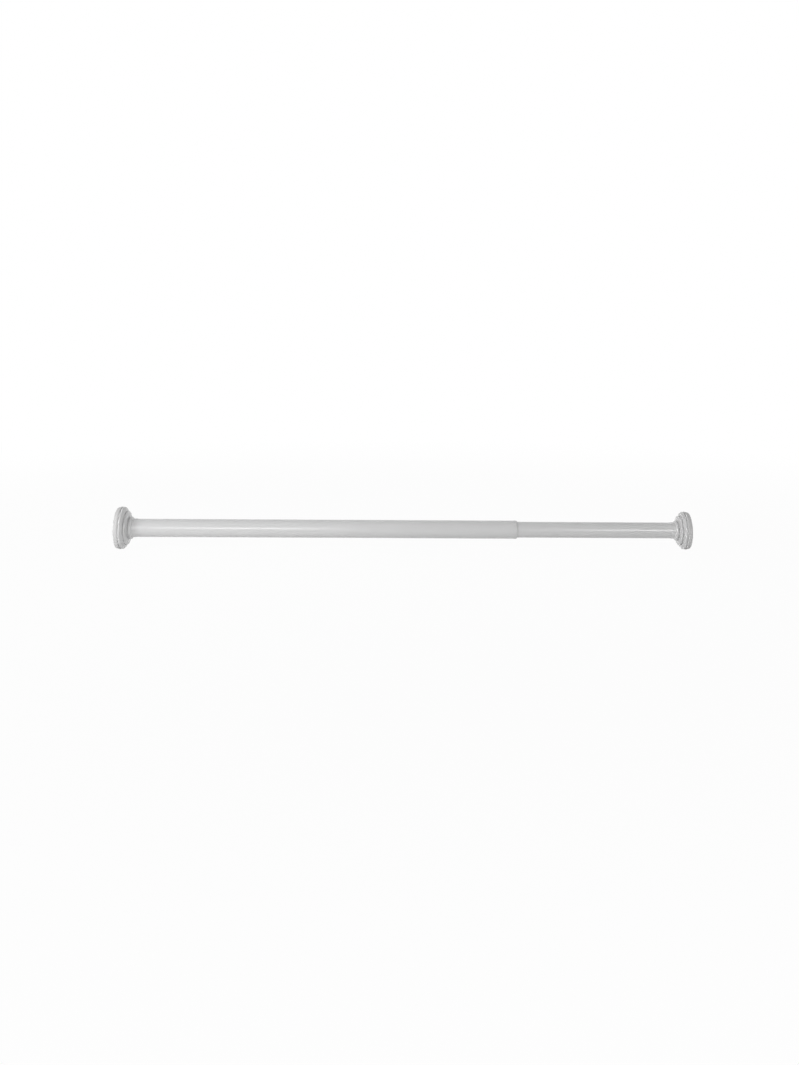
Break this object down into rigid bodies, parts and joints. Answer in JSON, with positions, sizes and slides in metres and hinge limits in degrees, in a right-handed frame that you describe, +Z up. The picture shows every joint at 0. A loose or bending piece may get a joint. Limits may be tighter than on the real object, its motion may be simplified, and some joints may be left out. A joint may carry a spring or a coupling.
{
  "type": "shower curtain rod",
  "caption": "Telescoping tension rod for a shower curtain: a larger and a smaller tube with a twist lock, a spring inside and stepped round caps with rubber wall pads.",
  "frame": {"origin": "centre of the left wall pad's face, where it meets the wall", "axes": "+X along the rod from the left wall to the right wall, +Z up"},
  "size_m": [0.812, 0.0594, 0.0594],
  "materials": {
    "tube_enamel": "smooth white gloss enamel on steel",
    "cap_plastic": "glossy white moulded plastic",
    "pad_rubber": "matt white rubber",
    "lock_plastic": "plain nylon, as moulded",
    "bolt_steel": "bright zinc plate",
    "spring_steel": "drawn spring wire"
  },
  "bodies": {
    "larger_tube": {"outer_tube": "tube_enamel", "mouth_bush": "cap_plastic", "left_cover": "cap_plastic", "left_foot": "cap_plastic", "left_wall_pad": "pad_rubber"},
    "collet": {"lock_collet": "lock_plastic"},
    "cone": {"lock_cone": "lock_plastic"},
    "plunger": {"plunger": "lock_plastic", "lock_bolt": "bolt_steel", "thrust_washer": "bolt_steel", "stop_washer": "bolt_steel"},
    "smaller_tube": {"inner_tube": "tube_enamel", "spring_seat": "lock_plastic", "tension_spring": "spring_steel", "right_cover": "cap_plastic", "right_foot": "cap_plastic", "right_wall_pad": "pad_rubber"}
  },
  "joints": [
    {"name": "telescope", "type": "slide", "parent": "larger_tube", "child": "collet", "axis": [1, 0, 0], "range_m": [-0.19, 0.2]},
    {"name": "twist", "type": "hinge", "parent": "collet", "child": "plunger", "pos_m": [0.28, 0, 0], "axis": [-1, 0, 0], "range_deg": [0, 360]},
    {"name": "press", "type": "slide", "parent": "plunger", "child": "smaller_tube", "axis": [-1, 0, 0], "range_m": [0, 0.025], "stiffness_N_per_m": 3000, "springref_m": -0.01, "deforming": ["tension_spring"]},
    {"name": "wedge", "type": "slide", "parent": "collet", "child": "cone", "axis": [1, 0, 0], "range_m": [0, 0.001]}
  ],
  "couplings": [
    {"joint": "wedge", "follows": "twist", "m_per_rad": 0.00015915}
  ]
}
